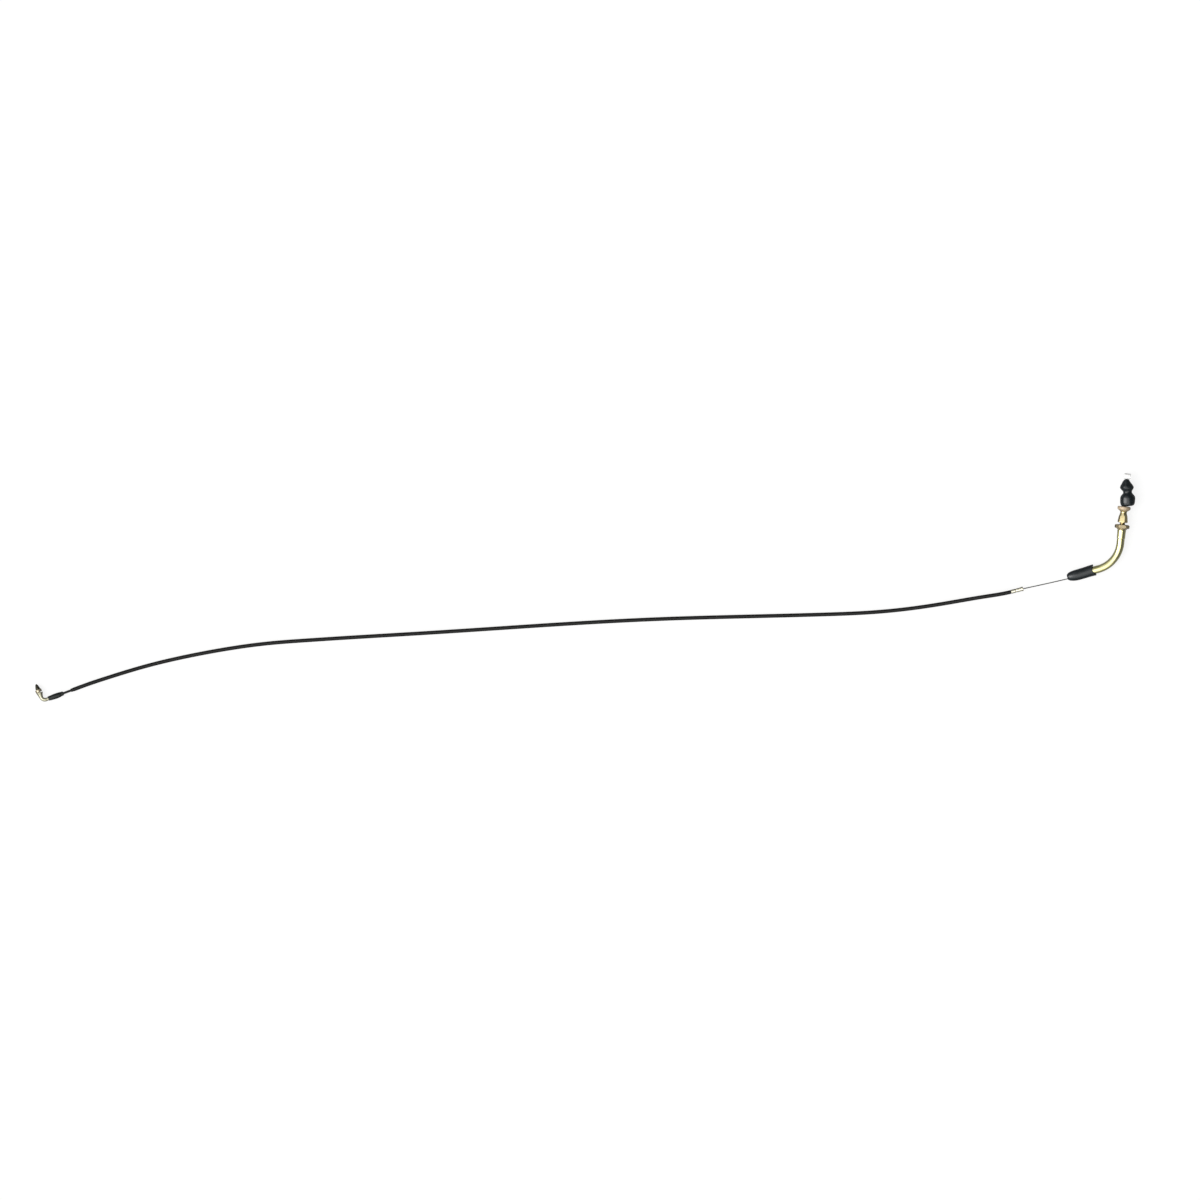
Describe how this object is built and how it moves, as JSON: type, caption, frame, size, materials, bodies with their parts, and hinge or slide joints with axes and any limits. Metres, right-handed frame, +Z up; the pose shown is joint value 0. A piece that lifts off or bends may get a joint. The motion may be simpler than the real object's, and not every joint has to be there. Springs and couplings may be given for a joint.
{
  "type": "throttle cable",
  "caption": "Throttle cable: black housing over a stranded wire, bent metal elbow with adjuster and rubber boot at the grip end, small bent pipe and nipple at the other.",
  "frame": {"origin": "on the surface that the cable lies on, under the middle of its bounding box", "axes": "+X along the housing towards the elbow and grip end, +Y to the left of that, +Z up"},
  "size_m": [1.43, 0.2962, 0.0197],
  "materials": {
    "black_plastic": "satin black extruded plastic",
    "dark_steel": "blackened wound steel",
    "white_plastic": "waxy white liner",
    "steel_wire": "stranded galvanised wire",
    "bright_steel": "bright plated steel",
    "zinc_gold": "pale yellow passivated zinc plating",
    "bronze": "dull bronze",
    "rubber": "smooth charcoal rubber",
    "diecast": "bright die-cast zinc",
    "dark_metal": "dark oiled metal"
  },
  "bodies": {
    "outer_cable": {"outer_jacket": "black_plastic", "conduit_coil": "dark_steel", "conduit_liner": "white_plastic", "wire_in_housing": "steel_wire", "right_ferrule": "bright_steel", "left_ferrule": "bright_steel", "left_sleeve": "rubber", "left_pipe": "bright_steel", "left_cup": "bronze"},
    "bare_wire": {"wire_bare": "steel_wire"},
    "elbow": {"rubber_cap": "rubber", "elbow_tube": "zinc_gold", "elbow_liner": "white_plastic", "wire_in_elbow": "steel_wire", "collar": "zinc_gold"},
    "washer": {"lock_washer": "zinc_gold"},
    "nut": {"lock_nut": "zinc_gold"},
    "rubber_boot": {"boot": "rubber"},
    "adjusting_screw": {"adjuster": "zinc_gold"},
    "grip_nipple": {"right_nipple": "diecast", "wire_tail_right": "steel_wire"},
    "carburettor_nipple": {"left_nipple": "dark_metal", "wire_tail_left": "steel_wire"}
  },
  "joints": [
    {"name": "elbow_swivel", "type": "hinge", "parent": "outer_cable", "child": "bare_wire", "pos_m": [0.56965, -0.00195, 0.0065], "axis": [0.9677, 0.2521, 0], "continuous": true},
    {"name": "elbow_slide", "type": "slide", "parent": "bare_wire", "child": "elbow", "axis": [-0.9677, -0.2521, 0], "range_m": [0, 0.074], "deforming": ["wire_bare"]},
    {"name": "grip_nipple_slide", "type": "slide", "parent": "elbow", "child": "grip_nipple", "axis": [0.101, 0.9939, 0.0436], "range_m": [0, 0.066]},
    {"name": "carburettor_nipple_slide", "type": "slide", "parent": "outer_cable", "child": "carburettor_nipple", "axis": [-0.4848, 0.8746, 0], "range_m": [0, 0.008]},
    {"name": "washer_slide", "type": "slide", "parent": "elbow", "child": "washer", "axis": [0.101, 0.9939, 0.0436], "range_m": [0, 0.00125]},
    {"name": "nut_turn", "type": "hinge", "parent": "washer", "child": "nut", "pos_m": [0.69598, 0.05719, 0.00768], "axis": [0.101, 0.9939, 0.0436], "range_deg": [0, 360]},
    {"name": "boot_slide", "type": "slide", "parent": "elbow", "child": "rubber_boot", "axis": [-0.101, -0.9939, -0.0436], "range_m": [0, 0.00125]},
    {"name": "adjuster_turn", "type": "hinge", "parent": "rubber_boot", "child": "adjusting_screw", "pos_m": [0.69598, 0.05719, 0.00768], "axis": [-0.101, -0.9939, -0.0436], "range_deg": [0, 360]}
  ],
  "couplings": [
    {"joint": "grip_nipple_slide", "follows": "elbow_slide", "ratio": 0.89189},
    {"joint": "carburettor_nipple_slide", "follows": "elbow_slide", "ratio": 0.1081},
    {"joint": "nut_turn", "follows": "washer_slide", "rad_per_m": 5026.5},
    {"joint": "adjuster_turn", "follows": "boot_slide", "rad_per_m": 5026.5}
  ]
}
